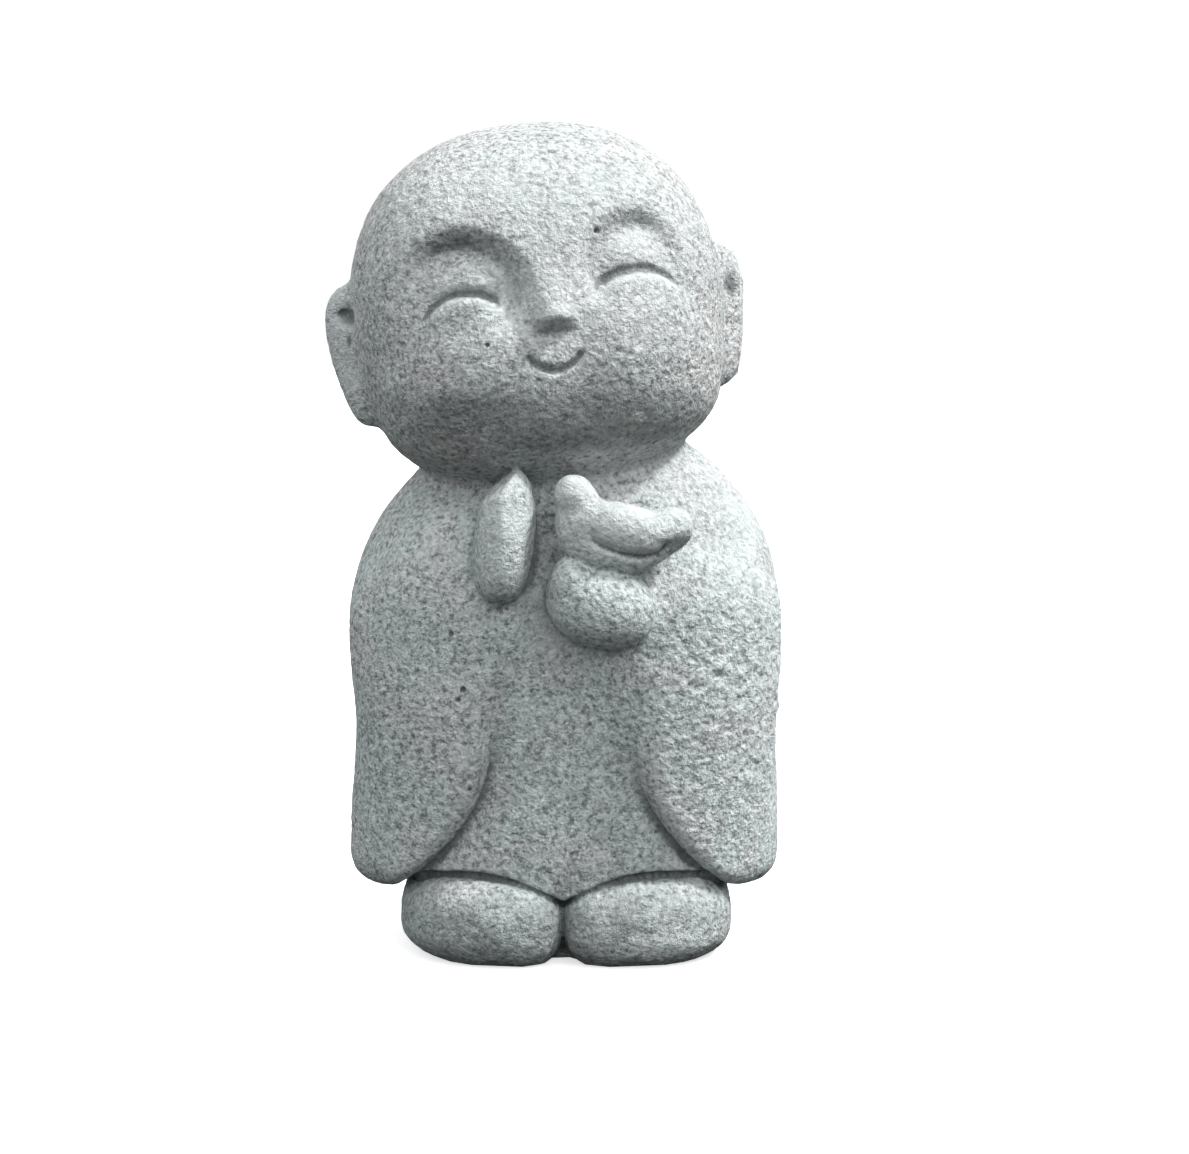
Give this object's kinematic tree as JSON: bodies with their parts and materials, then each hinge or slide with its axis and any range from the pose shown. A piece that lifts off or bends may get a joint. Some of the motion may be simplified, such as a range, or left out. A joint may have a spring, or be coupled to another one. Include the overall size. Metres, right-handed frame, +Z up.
{
  "type": "stone jizo statue",
  "caption": "Smiling child-monk jizo carved in grey granite, head tilted, a flat hand raised beside a small bird in the cupped other hand, long sleeves, standing on a flat underside.",
  "frame": {"origin": "middle of the flat underside, on the ground that the statue stands on", "axes": "+Z up, -Y the way the figure faces, +X to the figure's left, which is the right of a viewer in front"},
  "size_m": [0.2201, 0.1639, 0.3998],
  "materials": {
    "granite": "bush-hammered, dry, fine grey grain with dark and pale specks"
  },
  "bodies": {
    "root": {"jizo_statue": "granite"}
  },
  "joints": []
}
